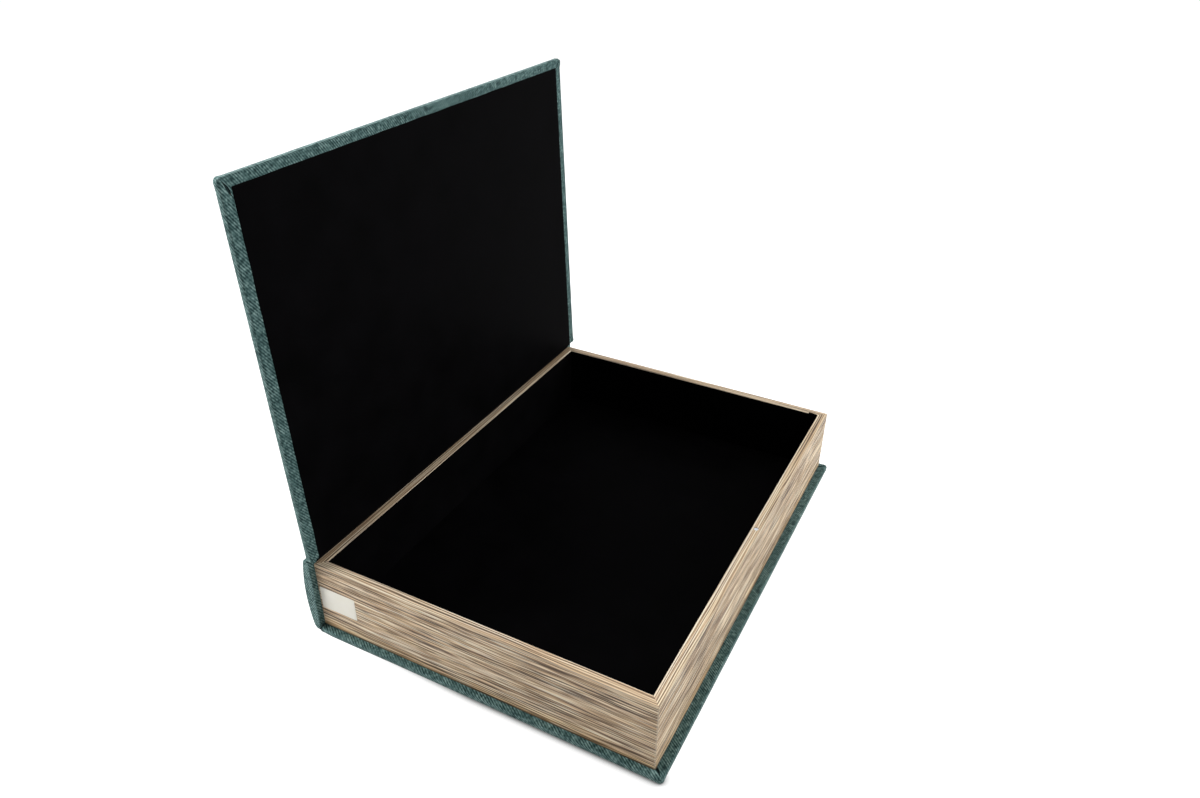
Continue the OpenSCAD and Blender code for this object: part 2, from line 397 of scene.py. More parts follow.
class Graph:
    """The nodes of a material or world, with short calls for the sums in them."""

    def __init__(self, owner):
        owner.use_nodes = True
        self.tree = owner.node_tree
        self.tree.nodes.clear()

    def node(self, kind):
        return self.tree.nodes.new("ShaderNode" + kind)

    def put(self, socket, value):
        """Links a socket to another one, or gives it a constant."""
        if isinstance(value, bpy.types.NodeSocket):
            self.tree.links.new(value, socket)
        elif isinstance(value, tuple) and socket.type == "RGBA":
            socket.default_value = (*value, 1.0)
        else:
            socket.default_value = value

    def fill(self, node, *values):
        """Puts values into a node's first inputs and gives back its first output."""
        for socket, value in zip(node.inputs, values):
            self.put(socket, value)
        return node.outputs[0]

    def math(self, operation, *values, clamp=False):
        node = self.node("Math")
        node.operation = operation
        node.use_clamp = clamp
        return self.fill(node, *values)

    def add(self, *values):
        total = values[0]
        for value in values[1:]:
            total = self.math("ADD", total, value)
        return total

    def times(self, first, second):
        return self.math("MULTIPLY", first, second)

    def combine(self, x, y, z=0.0):
        return self.fill(self.node("CombineXYZ"), x, y, z)

    def flat(self):
        """The sheet's own coordinates in millimetres, as two sockets."""
        source = self.node("UVMap")
        source.uv_map = "Flat"
        return self.parts(source.outputs[0])[:2]

    def parts(self, vector):
        """A vector's three numbers."""
        split = self.node("SeparateXYZ")
        self.fill(split, vector)
        return split.outputs[:]

    def place(self):
        """A point's own place on its object, in metres."""
        return self.node("TexCoord").outputs["Object"]

    # Reads the point attribute of lighter edges (partly wear, partly painted sheen and highlight)
    # and painted shade in slits and creases
    def fold(self):
        source = self.node("Attribute")
        source.attribute_name = "WearAndPaintedLight"
        return source.outputs["Fac"]

    def noise(self, vector, detail=2.0, scale=1.0):
        return self.fill(self.node("TexNoise"), vector, 0.0, scale, detail)

    def stretched(self, x, x_size, y, y_size, detail=2.0, layer=0.0):
        """Noise with bumps of one size along and another across."""
        across = self.math("DIVIDE", x, x_size)
        up = self.math("DIVIDE", y, y_size)
        return self.noise(self.combine(across, up, layer), detail)

    def speck(self, x, y):
        """A random value for each pair of whole numbers."""
        return self.fill(self.node("TexWhiteNoise"), self.combine(x, y))

    def span(self, value, low, high, to_low=0.0, to_high=1.0):
        """Value moved from one range to another and held inside it."""
        return self.fill(self.node("MapRange"), value, low, high, to_low, to_high)

    def streaks(self, x, y, size, layer, reach, result=(0.0, 1.0), detail=1.0):
        """Noise with bumps of this size both ways, moved from its reach to the result."""
        bumps = self.stretched(x, size[0], y, size[1], detail, layer)
        return self.span(bumps, *reach, *result)

    def mix(self, factor, first, second, blend="MIX"):
        node = self.node("Mix")
        node.data_type = "RGBA"
        node.blend_type = blend
        colours = [socket for socket in node.inputs if socket.type == "RGBA"]
        self.put(node.inputs[0], factor)
        self.put(colours[0], first)
        self.put(colours[1], second)
        return next(socket for socket in node.outputs if socket.type == "RGBA")

    def tint(self, factor, colour, by):
        """A colour multiplied by another, as far as the factor says."""
        return self.mix(factor, colour, self.mix(1.0, colour, by, "MULTIPLY"))

    def ramp(self, factor, stops):
        node = self.node("ValToRGB")
        elements = node.color_ramp.elements
        while len(elements) < len(stops):
            elements.new(0.5)
        for element, (position, colour) in zip(elements, stops):
            element.position = position
            element.color = (*colour, 1.0)
        return self.fill(node, factor)


class Surface(Graph):
    """A material's nodes, with a shader whose inputs are set by name."""

    def __init__(self, name):
        self.material = bpy.data.materials.new(name)
        super().__init__(self.material)
        self.shader = self.node("BsdfPrincipled")
        self.put(self.node("OutputMaterial").inputs[0], self.shader.outputs[0])

    def set(self, name, value):
        self.put(self.shader.inputs[name], value)

    def bump(self, height, distance, strength):
        node = self.node("Bump")
        self.put(node.inputs["Strength"], strength)
        self.put(node.inputs["Distance"], distance)
        self.put(node.inputs["Height"], height)
        self.set("Normal", node.outputs["Normal"])


def grey(value):
    return (value, value, value)


def book_cloth():
    """Twill of dark and light grey-green yarns that vary along their length."""
    g = Surface("book_cloth")
    u, v = g.flat()
    drift = g.times(g.stretched(u, 22.0, v, 22.0, 1.0, 3.0), 1.1)
    wander = g.times(g.stretched(u, 4.0, v, 4.0, 1.0, 8.0), 0.25)
    warp = g.math("DIVIDE", g.add(u, drift, wander), WARP_PITCH)
    weft = g.math("DIVIDE", v, WEFT_PITCH)
    repeat = g.math("DIVIDE", g.add(warp, weft), TWILL_ENDS)
    rib = g.math("MULTIPLY_ADD", g.math("COSINE", g.times(repeat, 2 * math.pi)), 0.5, 0.5)
    clear = g.streaks(u, v, (7.0, 7.0), 14.0, (0.36, 0.64), (0.35, 1.1))
    wale = g.times(g.span(rib, 0.0, 1.0, -0.20, 0.20), clear)
    slub = g.streaks(u, v, (1.6, 4.2), 1.0, (0.34, 0.66), (-0.11, 0.11))
    pick = g.streaks(u, v, (4.2, 1.6), 5.0, (0.34, 0.66), (-0.11, 0.11))
    patch = g.streaks(u, v, (3.0, 3.0), 11.0, (0.3, 0.7), (-0.06, 0.06), 2.0)
    broad = g.streaks(u, v, (26.0, 26.0), 17.0, (0.3, 0.7), (-0.05, 0.05), 2.0)
    speck = g.speck(g.math("FLOOR", warp), g.math("FLOOR", weft))
    yarn = g.add(wale, slub, pick, g.span(speck, 0.0, 1.0, -0.03, 0.03))
    # g.fold() lightens the cloth's edge faces, partly wear and partly painted sheen, and darkens
    # slits, tucks and the spine's foot crease with painted shade
    tone = g.math("MULTIPLY_ADD", g.fold(), 0.10, g.add(yarn, patch, broad, 0.44))
    g.set("Base Color", g.ramp(tone, [
        (0.02, (0.003, 0.015, 0.016)),
        (0.25, (0.016, 0.048, 0.048)),
        (0.50, (0.074, 0.146, 0.141)),
        (0.90, (0.290, 0.430, 0.412)),
    ]))
    g.set("Roughness", 0.88)
    g.set("Specular IOR Level", 0.2)
    g.set("Sheen Weight", 0.08)
    g.set("Sheen Roughness", 0.5)
    g.bump(g.add(g.times(rib, 0.7), yarn), 0.00012, 0.4)
    return g.material


def wood_streak(g, u, v, lean, rim, fine):
    """Streaks that wander on the wall and run nearly straight along the rim."""
    middle = g.streaks(u, lean, (85.0, 1.3), 9.0, (0.40, 0.60))
    broad = g.streaks(u, lean, (85.0, 5.0), 14.0, (0.38, 0.62), detail=2.0)
    wall = g.add(g.times(fine, 0.62), g.times(middle, 0.52), g.times(broad, 0.22), -0.18)
    thin = g.streaks(u, v, (120.0, 0.8), 52.0, (0.43, 0.57))
    wide = g.streaks(u, v, (200.0, 1.5), 57.0, (0.43, 0.57))
    sway = g.times(g.stretched(u, 60.0, v, 4.0, 1.0, 61.0), 3.0)
    turns = g.times(g.add(v, sway), 2 * math.pi / RIM_LINE_PITCH)
    comb = g.span(g.math("COSINE", turns), -1.0, 1.0, 0.0, 0.62)
    straight = g.add(comb, g.times(thin, 0.42), g.times(wide, 0.34), -0.19)
    return g.math("MULTIPLY_ADD", rim, g.math("SUBTRACT", straight, wall), wall)


def wood_shift(g, u, v, lean):
    """How much lighter or darker the print is up the sheet, with dark bundles in its band."""
    stops = [(share, grey(tone)) for share, tone in WOOD_LEVELS]
    level = g.ramp(g.math("DIVIDE", v, WOOD_SHEET), stops)
    bundle = g.streaks(u, lean, (24.0, 5.0), 30.0, (0.50, 0.66), (0.0, 0.22), 2.0)
    off_band = g.math("ABSOLUTE", g.math("SUBTRACT", v, DARK_BAND))
    dark = g.times(bundle, g.span(off_band, 6.0, 15.0, 1.0, 0.25))
    return g.math("SUBTRACT", g.math("MULTIPLY_ADD", level, 0.75, -0.375), dark)


def wood_paper():
    """Printed paper with long grey-brown and cream streaks, warmer near the foot, lighter on its
    bends with wear and painted highlight, and with a painted shadow line at its foot.
    """
    g = Surface("wood_paper")
    u, v = g.flat()
    lean = g.math("MULTIPLY_ADD", g.stretched(u, 120.0, v, 60.0, 1.0, 2.0), 2.6, v)
    rim = g.times(g.span(v, *RIM_START), g.span(v, *RIM_END))
    off_rim = g.math("SUBTRACT", 1.0, rim)
    fine = g.streaks(u, lean, (40.0, 0.75), 4.0, (0.41, 0.59))
    tone = g.add(wood_streak(g, u, v, lean, rim, fine), wood_shift(g, u, v, lean))
    colour = g.ramp(tone, [
        (0.02, (0.104, 0.066, 0.042)),
        (0.24, (0.258, 0.172, 0.104)),
        (0.42, (0.486, 0.334, 0.202)),
        (0.60, (0.690, 0.504, 0.318)),
        (0.82, (0.860, 0.705, 0.488)),
        (1.00, (0.940, 0.850, 0.670)),
    ])
    foot = g.span(v, 0.0, 8.0, 0.75, 0.0)
    amber = g.streaks(u, lean, (60.0, 1.6), 21.0, (0.50, 0.62), (0.0, 0.35), 2.0)
    amber = g.math("MULTIPLY_ADD", amber, off_rim, foot, clamp=True)
    colour = g.tint(amber, colour, (1.06, 0.91, 0.66))
    cool = g.streaks(u, lean, (60.0, 4.0), 27.0, (0.48, 0.62), (0.0, 0.7), 2.0)
    colour = g.tint(cool, colour, (0.92, 0.92, 0.98))
    pore = g.streaks(u, lean, (24.0, 0.70), 33.0, (0.57, 0.65), (0.0, 0.85))
    pore = g.times(pore, off_rim)
    glint = g.streaks(u, lean, (36.0, 0.70), 41.0, (0.58, 0.66), (0.0, 0.80))
    # Lighter on the rim's bends and upright corners, partly wear and partly painted highlight
    wear_and_painted_highlight = g.times(g.fold(), 0.35)
    # Painted shadow: a thin dark line at the wall's foot, where it meets the cloth
    foot_painted_shadow = g.span(v, 0.4, 1.3, 0.8, 0.0)
    for factor, paint in (
        (pore, (0.120, 0.082, 0.054)),
        (g.times(glint, off_rim), (0.90, 0.80, 0.63)),
        (wear_and_painted_highlight, (0.84, 0.74, 0.58)),
        (foot_painted_shadow, (0.060, 0.040, 0.026)),
    ):
        colour = g.mix(factor, colour, paint)
    g.set("Base Color", colour)
    g.set("Roughness", g.span(fine, 0.0, 1.0, 0.62, 0.50))
    g.set("Specular IOR Level", 0.3)
    g.bump(g.math("SUBTRACT", fine, g.times(pore, 0.5)), 0.00006, 0.5)
    return g.material


def black_paper():
    """Near-black lining paper with a fine fibre and a low sheen."""
    g = Surface("black_paper")
    u, v = g.flat()
    fibre = g.stretched(u, 0.9, v, 0.9, 3.0, 1.0)
    cloud = g.stretched(u, 30.0, v, 30.0, 2.0, 6.0)
    shade = g.add(g.times(fibre, 0.4), g.times(cloud, 0.6))
    g.set("Base Color", g.ramp(shade, [
        (0.30, (0.0016, 0.0016, 0.0017)), (0.70, (0.0036, 0.0034, 0.0039)),
    ]))
    g.set("Roughness", g.span(cloud, 0.3, 0.7, 0.44, 0.56))
    g.set("Specular IOR Level", 0.004)
    g.bump(fibre, 0.00004, 0.4)
    return g.material


def plated_metal():
    """Nickel-plated magnet face with fine turning marks."""
    g = Surface("magnet")
    grain = g.noise(g.place(), 3.0, 900.0)
    g.set("Base Color", g.ramp(grain, [(0.3, (0.56, 0.61, 0.68)), (0.7, (0.74, 0.78, 0.84))]))
    g.set("Metallic", 1.0)
    g.set("Roughness", g.span(grain, 0.3, 0.7, 0.30, 0.45))
    g.bump(grain, 0.00002, 0.5)
    return g.material


def sticker_paper():
    """Bare off-white label paper."""
    g = Surface("sticker_paper")
    u, v = g.flat()
    tooth = g.stretched(u, 0.35, v, 0.35, 2.0, 1.0)
    patch = g.stretched(u, 9.0, v, 9.0, 2.0, 4.0)
    shade = g.add(g.times(tooth, 0.3), g.times(patch, 0.7))
    g.set("Base Color", g.ramp(shade, [(0.3, (0.93, 0.90, 0.79)), (0.7, (0.97, 0.94, 0.86))]))
    g.set("Roughness", 0.55)
    g.set("Specular IOR Level", 0.35)
    g.bump(tooth, 0.00003, 0.4)
    return g.material


def board(name, dark, light, size):
    """Pressed board with a fleck of fibres, for the covered boards."""
    g = Surface(name)
    place = g.place()
    fleck = g.noise(place, 4.0, 1.0 / (size * MM))
    fibre = g.noise(place, 3.0, 5.0 / (size * MM))
    tone = g.add(g.times(fleck, 0.6), g.times(fibre, 0.4))
    g.set("Base Color", g.ramp(tone, [(0.35, dark), (0.65, light)]))
    g.set("Roughness", 0.9)
    g.bump(fibre, 0.0001, 0.6)
    return g.material


CLOTH_LOOK = book_cloth()
WOOD_LOOK = wood_paper()
BLACK_LOOK = black_paper()
METAL_LOOK = plated_metal()
STICKER_LOOK = sticker_paper()
CASE_BOARD_LOOK = board("case_board", (0.22, 0.20, 0.17), (0.42, 0.38, 0.33), 2.0)
TRAY_BOARD_LOOK = board("tray_board", (0.30, 0.21, 0.13), (0.46, 0.33, 0.21), 1.5)


# Book cloth

# Slits at the corners: where they start, their lengths and widths, the lid's slanting
# one's slope, half a closed one's width, and the painted shade that darkens them inside
SLIT_BACK = 1.94
LID_SLIT_LENGTH = 3.66
PLAIN_SLIT_LENGTH = 5.0
LID_SLIT_W = 2.5
PLAIN_SLIT_W = 0.4
BOTTOM_SLIT_W = 1.8
SLIT_SLOPE = 2.11
SLIT_CLOSED = 0.03
SLIT_PAINTED_SHADE = -9.0

# Cloth at the bottom of a slit: half its width, its depth and its thickness
TUCK_HALF = 1.8
TUCK_DEPTH = 0.42
TUCK_T = 0.06


def slit(share, width):
    """Half the width of a corner's slit, at this share of its length."""
    return SLIT_CLOSED + width / 2 * math.sin(math.pi * min(max(share, 0.0), 1.0))


def slit_mitre(slope, length, width):
    """How a flap ends at a corner, from its slit's slope, reach inwards and width."""
    def mitre(inset, height):
        past = inset - SLIT_BACK
        return SLIT_BACK + past * slope + slit(past / length, width)

    return mitre


def cloth_rows(inner_r, outer_r):
    """Cloth from the end of its turn-in, round a board's edge, to its outer face.

    Rows are (inset, height, outward way), with height from the board's inner face. The
    second result is the number of rows that belong to the turn-in.
    """
    insets = (TURN_IN, 12.0, 9.0, 7.0, 5.6, 4.4, 3.4, 2.6, 2.2)
    inner = np.array([[inset, 0.0, 0.0, -1.0] for inset in insets])
    lower = arc((inner_r, inner_r), inner_r, 270, 180, 5)
    upper = arc((outer_r, CASE_T - outer_r), outer_r, 180, 90, 5)
    outer = np.array([[PANEL_REACH, CASE_T, 0.0, 1.0]])
    return np.concatenate([inner, lower, upper, outer]), len(insets)


def lid_place(seen, height):
    """Points of the open lid, from where they are seen from above when it is shut."""
    return turned(lifted(seen, LID_LOW[2] + height), OPEN)


def bottom_place(seen, height):
    """Points of the bottom's cover, with height from its inner face downwards."""
    return lifted(seen, CASE_HIGH[2] - height)


def unevenness(points):
    """The cloth's own slow unevenness, in millimetres."""
    return 0.05 * ripple(points, 9.0) + 0.03 * ripple(points + 90.0, 3.0)


def corner_lump(along):
    """Folded cloth that stands proud beside the lid's right fore corner."""
    return 0.7 * smooth(0.0, 1.5, along) * (1.0 - smooth(4.8, 6.0, along))


def heel_swell(along):
    """The bottom's left edge, which stands out a little towards the spine."""
    return 0.4 * smooth(0.5, 10.0, along) * (1.0 - smooth(8.0, 70.0, along))


def no_swell(along):
    return 0.0


def spine_cut(inset, height):
    """Where the bottom's cloth ends at the spine's foot, from the line of the tray's back."""
    return -FOOT_CREASE_LEAN * height


def foot_crease(points):
    """How much of the crease at the spine's foot is at a point, from 0 to 1."""
    y, z = points[..., 1] - BACK_Y, points[..., 2] - CASE_T
    off = (y + FOOT_CREASE_LEAN * z) / math.hypot(1.0, FOOT_CREASE_LEAN)
    near_end = smooth(CASE_HIGH[0] - 4.0, CASE_HIGH[0] - 1.5, np.abs(points[..., 0]))
    return near_end * np.exp(-((off / 0.7) ** 2)) * (z < 1.0)


def creased(points):
    """Points drawn in by the crease at the spine's foot, and the painted shade it gets at each.
    """
    crease = foot_crease(points)
    dipped = points.copy()
    dipped[..., 0] -= np.sign(points[..., 0]) * crease * FOOT_CREASE_DEPTH
    return dipped, crease * FOOT_CREASE_PAINTED_SHADE


def blended_rows(side, kinds, ends):
    """A flap's grid, with the rows of its corners going over into those along the side."""
    turned_rows = kinds[1][1]
    start, own, finish = (band(side, kind[0], ends, turned_rows) for kind in kinds)
    middle = own[:, turned_rows, 0]
    first = 1.0 - smooth(0.0, CORNER_BLEND, middle - middle[CORNER_STEPS])
    last = 1.0 - smooth(0.0, CORNER_BLEND, middle[-CORNER_STEPS - 1] - middle)
    grid = own + first[:, None, None] * (start - own)
    return grid + last[:, None, None] * (finish - own)


def cloth_side(piece, side, kinds, ends, lift, swell=no_swell):
    """One flap of cloth and the edge that it goes round, up to the outer face.

    kinds are the cloth's rows at the start corner, along the side and at the end corner.
    """
    rows, turned_rows = kinds[1]
    grid = blended_rows(side, kinds, ends)
    along, inset, height = np.moveaxis(grid, -1, 0)
    ground = lifted(side.place(along, inset), height)
    bulge = unevenness(ground)
    for end, gone in zip(ends, (along, side.length - along)):
        if end.radius:
            near = np.exp(-((np.hypot(gone, inset) / 3.4) ** 2)) * (inset < PANEL_REACH)
            bulge = bulge + 0.26 * near * (1.0 + 0.9 * ripple(ground + 40.0, 2.2))
    outward = rows[:, 2:]
    bulge = bulge + swell(along) * np.abs(outward[:, 0])
    sheet = side.place(along, PANEL_REACH - (run_length(rows)[-1] - run_length(rows)))
    # Lighter on the board's edge faces, partly wear and partly painted sheen; the flaps' ends at
    # a slit get painted shade
    fold = np.array(np.broadcast_to(1.0 - outward[:, 1] ** 2, along.shape))
    for station, end in zip((0, -1), ends):
        if end.radius:
            fold[station, :turned_rows] = SLIT_PAINTED_SHADE
    bulge = np.where(outward[:, 1] > 0.9, np.minimum(bulge, 0.0), bulge)
    grids = []
    for proud in (bulge, -CLOTH):
        seen = side.place(along, inset + outward[:, 0] * proud)
        placed = lift(seen, height + outward[:, 1] * proud)
        if lift is bottom_place:
            # The crease at the spine's foot is darkened with painted shade
            placed, shade = creased(placed)
            fold = fold - shade
        grids.append(placed)
    piece.shell(*grids, sheet, fold, edges=(True, False))
    return grid


def cloth_panel(piece, across, along, lift):
    """The cloth's outer face between the flaps."""
    seen = np.stack(np.meshgrid(across, along, indexing="ij"), -1)
    height = np.full(seen.shape[:2], CASE_T)
    shown = lift(seen, height + unevenness(lifted(seen, height)))
    hidden = lift(seen, height - CLOTH)
    piece.shell(shown, hidden, seen, edges=(False, False), caps=(False, False))


def tuck(piece, low, high, corner, slope, length, lift):
    """Cloth that shows at the bottom of a corner's slit, darkened with painted shade."""
    way = np.where((corner[0] == "left", corner[1] == "front"), 1.0, -1.0)
    start = np.where(way > 0, low[:2], high[:2])
    away = np.array([1.0, slope]) / math.hypot(1.0, slope)
    across = np.array([away[1], -away[0]])
    seen = np.array([
        [start + way * (SLIT_BACK - 0.3 + away * length * s + across * w * min(4.0 * s, 1.0))
         for w in np.linspace(-TUCK_HALF, TUCK_HALF, 5)]
        for s in np.linspace(0.03, 1.0, 9)
    ])
    deep = np.full(seen.shape[:2], TUCK_DEPTH)
    piece.shell(lift(seen, deep), lift(seen, deep + TUCK_T), seen, SLIT_PAINTED_SHADE)


def lid_cloth():
    """The lid's cover: four flaps round the board, with a slanting slit at one corner."""
    piece = Piece("lid_cover")
    own = cloth_rows(EDGE_R, EDGE_R)
    heel = cloth_rows(HEEL_INNER_R, HEEL_R)
    steep = End(CORNER_R, slit_mitre(SLIT_SLOPE, LID_SLIT_LENGTH, LID_SLIT_W))
    flat_reach = LID_SLIT_LENGTH * SLIT_SLOPE
    shallow = End(CORNER_R, slit_mitre(1.0 / SLIT_SLOPE, flat_reach, LID_SLIT_W))
    plain = slit_mitre(1.0, PLAIN_SLIT_LENGTH, PLAIN_SLIT_W)
    square = End(CORNER_R, plain)
    back = End(LID_BACK_CORNER_R, plain)
    sides = {name: Side(LID_LOW, LID_HIGH, name) for name in WALL_OFFSETS}
    front = cloth_side(piece, sides["front"], (own, own, own), (shallow, square), lid_place)
    cloth_side(piece, sides["right"], (own, own, heel), (square, back), lid_place, corner_lump)
    cloth_side(piece, sides["back"], (heel, heel, heel), (back, back), lid_place)
    left = cloth_side(piece, sides["left"], (heel, own, own), (back, steep), lid_place)
    cloth_panel(piece, LID_LOW[0] + front[:, -1, 0], LID_HIGH[1] - left[:, -1, 0], lid_place)
    tuck(piece, LID_LOW, LID_HIGH, ("left", "front"), SLIT_SLOPE, 8.0, lid_place)
    for corner in (("right", "front"), ("left", "back"), ("right", "back")):
        tuck(piece, LID_LOW, LID_HIGH, corner, 1.0, 6.0, lid_place)
    return piece.build(CLOTH_LOOK, "book_cloth", "lid_cloth", body="lid")


def bottom_cloth():
    """The bottom's cover: three flaps round the board, cut off at the spine's foot."""
    piece = Piece("bottom_cover")
    own = cloth_rows(EDGE_R, EDGE_R)
    low = CASE_LOW
    high = np.array([CASE_HIGH[0], BACK_Y, CASE_HIGH[2]])
    fore = End(CORNER_R, slit_mitre(1.0, PLAIN_SLIT_LENGTH, BOTTOM_SLIT_W))
    cut = End(0.0, spine_cut, spine_cut)
    sides = {name: Side(low, high, name) for name in WALL_OFFSETS}
    front = cloth_side(piece, sides["front"], (own, own, own), (fore, fore), bottom_place)
    cloth_side(piece, sides["right"], (own, own, own), (fore, cut), bottom_place)
    left = cloth_side(
        piece, sides["left"], (own, own, own), (cut, fore), bottom_place, heel_swell,
    )
    cloth_panel(piece, low[0] + front[:, -1, 0], high[1] - left[:, -1, 0], bottom_place)
    for corner in (("left", "front"), ("right", "front")):
        tuck(piece, low, high, corner, 1.0, 6.0, bottom_place)
    return piece.build(CLOTH_LOOK, "book_cloth", "bottom_cloth")


def spine_rows():
    """Rows of (y, z, outward way) up the spine's inner face, over its nose and down.

    Their number is odd, and a row faces the one as far from the other end of the list.
    """
    middle = (FOLD_R + NOSE_Z) / 2 - SPINE_SAG
    rise = NOSE_Z - middle
    arc_r = (rise * rise / (SPINE_T - 2 * NOSE_R) + SPINE_T) / 2
    centre = np.array((BACK_Y + SPINE_T - arc_r, middle))
    nose = np.array((BACK_Y + NOSE_R, NOSE_Z))
    drop = math.sqrt((arc_r - FOLD_R) ** 2 - (middle - FOLD_R) ** 2)
    fold = np.array((centre[0] + drop, FOLD_R))
    nose_turn = math.degrees(math.atan2(nose[1] - centre[1], nose[0] - centre[0]))
    fold_turn = math.degrees(math.atan2(fold[1] - centre[1], fold[0] - centre[0]))
    shares = (*np.linspace(0.0, 0.09, 10), *np.linspace(0.10, 1.0, 21))
    inner = line((BACK_Y, CASE_T), (BACK_Y, NOSE_Z), (-1, 0), shares)
    over = arc(nose, NOSE_R, 180, nose_turn, 8)
    outer = arc(centre, arc_r, nose_turn, fold_turn, 20)
    foot = arc(fold, FOLD_R, fold_turn, -90, 10)
    rows = np.concatenate([inner, over[1:], outer[1:], foot[1:]])
    rows[:, 0] = BACK_Y + (rows[:, 0] - BACK_Y) * SPINE_DEPTH
    return rows


def spine_cap(piece, rows):
    """Closes one end of the spine, across from its inner rows to its outer ones."""
    pairs = len(rows) // 2 + 1
    across = np.linspace(0, 1, 19)[None, :, None]
    first = rows[:pairs][:, None]
    second = rows[::-1][:pairs][:, None]
    cap, shade = creased(first * (1 - across) + second * across)
    # The end face is lightened, partly wear and partly painted sheen, and darkened at the foot
    # crease with painted shade
    piece.skin(piece.add(cap, 1.3 * cap[..., 1:], 1.0 - shade))


def spine_cloth():
    """The spine's cover, with rounded edges at its two ends."""
    piece = Piece("spine_cover")
    rows = spine_rows()
    outer = smooth(0.45, 0.6, np.linspace(0.0, 1.0, len(rows)))
    edge_r = SPINE_INNER_EDGE_R + (SPINE_OUTER_EDGE_R - SPINE_INNER_EDGE_R) * outer
    half = CASE_HIGH[0] - 0.02
    quarter = np.radians(np.linspace(90, 0, 7))[:, None]
    end_x = -half + edge_r * (1 - np.sin(quarter))
    end_in = edge_r * (1 - np.cos(quarter))
    straight = np.repeat((spread(2 * half - 8.0, 7.0) - half + 4.0)[:, None], len(rows), 1)
    x = np.concatenate([end_x, straight, -end_x[::-1]])
    inset = np.concatenate([end_in, np.zeros_like(straight), end_in[::-1]])
    # The rounded ends are lightened, partly wear and partly painted sheen
    end_wear_and_sheen = np.repeat(np.sin(quarter), len(rows), 1)
    fold = np.concatenate([end_wear_and_sheen, np.zeros_like(straight), end_wear_and_sheen[::-1]])

    def at(x, inset):
        return joined(x, rows[:, 0] - inset * rows[:, 2], rows[:, 1] - inset * rows[:, 3])

    plain = at(x, inset)
    shown = at(x, inset - 0.06 * ripple(plain, 11.0) - 0.03 * ripple(plain, 3.0))
    hidden = at(np.clip(x, CLOTH - half, half - CLOTH), 0.6 * inset + CLOTH)
    sheet = joined(x, BACK_Y + run_length(rows))
    # The crease at the spine's foot darkens the cloth with painted shade
    dipped, shade = creased(shown)
    piece.shell(dipped, hidden, sheet, fold - shade, caps=(False, False))
    for station in (0, -1):
        spine_cap(piece, shown[station])
    return piece.build(CLOTH_LOOK, "book_cloth", "spine_cloth")


def bent_strip(name, half, path, thick, look, slot, node):
    """A thin strip along x with this (y, z) path, which bends from the case to the lid."""
    piece = Piece(name)
    way = np.gradient(path, axis=0)
    way = way / np.linalg.norm(way, axis=1)[:, None]
    normal = np.stack([-way[:, 1], way[:, 0]], -1)
    x = spread(2 * half, 8.0) - half
    grids = [joined(x[:, None], *(path + normal * offset).T) for offset in (0.0, thick)]
    piece.shell(*grids, joined(x[:, None], BACK_Y + run_length(path)))
    strip = piece.build(look, slot, node, body=None)
    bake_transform(strip)
    return strip


def curve(points, steps):
    """A smooth path through these (y, z) points."""
    points = np.array(points, float)
    run = run_length(points)
    tangents = np.gradient(points, run, axis=0)
    places = np.linspace(0.0, run[-1], steps)
    k = np.minimum(np.searchsorted(run, places, "right") - 1, len(points) - 2)
    width = (run[k + 1] - run[k])[:, None]
    t = (places - run[k])[:, None] / width
    return (
        (2 * t**3 - 3 * t**2 + 1) * points[k] + (t**3 - 2 * t**2 + t) * width * tangents[k]
        + (3 * t**2 - 2 * t**3) * points[k + 1] + (t**3 - t**2) * width * tangents[k + 1]
    )


# Wood-look paper and black linings


def wood_wall(name, offset):
    """One wall's paper: up the outside, over the rim and down the inside."""
    side = Side(TRAY_LOW, TRAY_HIGH, name)
    r = RIM_EDGE_R
    top = RIM_Z
    shares = (0.0, 0.03, 0.12, 0.3, 0.5, 0.7, 0.88, 0.97, 1.0)
    outer = line((0.0, CASE_HIGH[2]), (0.0, top - r), (-1, 0), shares)
    over = arc((r, top - r), r, 180, 90, 5)
    rim = line((r, top), (RIM_W - r, top), (0, 1), (0.25, 0.5, 0.75))
    down = arc((RIM_W - r, top - r), r, 90, 0, 5)
    inner = line((RIM_W, top - r), (RIM_W, VENEER_LOW), (1, 0), (0.2, 0.6, 1.0))
    rows = np.concatenate([outer, over[1:], rim, down, inner])
    end = End(TRAY_CORNER_R)
    along, inset, height = np.moveaxis(band(side, rows, (end, end)), -1, 0)
    outward = rows[:, 2:]
    bulge = 0.025 * ripple(lifted(side.place(along, inset), height), 14.0)
    grids = []
    for proud in (bulge, -PAPER):
        seen = side.place(along, inset + outward[:, 0] * proud)
        grids.append(lifted(seen, height + outward[:, 1] * proud))
    # Lighter paper on the rim's bends and the upright corners, partly wear and partly painted
    # highlight
    bent = (np.abs(outward[:, 0] * outward[:, 1]) > 0.2) * 1.0
    upright = (np.minimum(along, side.length - along) < TRAY_CORNER_R) & (height < top - r)
    wear_and_painted_highlight = np.maximum(np.broadcast_to(bent, along.shape), upright * 1.0)
    piece = Piece(f"{name}_paper")
    piece.shell(*grids, joined(along + offset, run_length(rows)), wear_and_painted_highlight)
    return piece.build(WOOD_LOOK, "wood_paper", f"{name}_veneer")


def punch(target, centre, radius, depth):
    """Cuts a round upright opening through a piece."""
    shape = bmesh.new()
    bmesh.ops.create_cone(
        shape, cap_ends=True, segments=48, radius1=radius * MM, radius2=radius * MM,
        depth=depth * MM,
    )
    bmesh.ops.translate(shape, verts=shape.verts, vec=Vector(centre) * MM)
    mesh = bpy.data.meshes.new("punch")
    shape.to_mesh(mesh)
    shape.free()
    cutter = in_scene("punch", mesh)
    cut = target.modifiers.new("opening", "BOOLEAN")
    cut.operation = "DIFFERENCE"
    cut.solver = "EXACT"
    cut.object = cutter
    bpy.context.view_layer.update()
    graph = bpy.context.evaluated_depsgraph_get()
    done = bpy.data.meshes.new_from_object(target.evaluated_get(graph))
    target.modifiers.clear()
    target.data = done
    bpy.data.objects.remove(cutter)


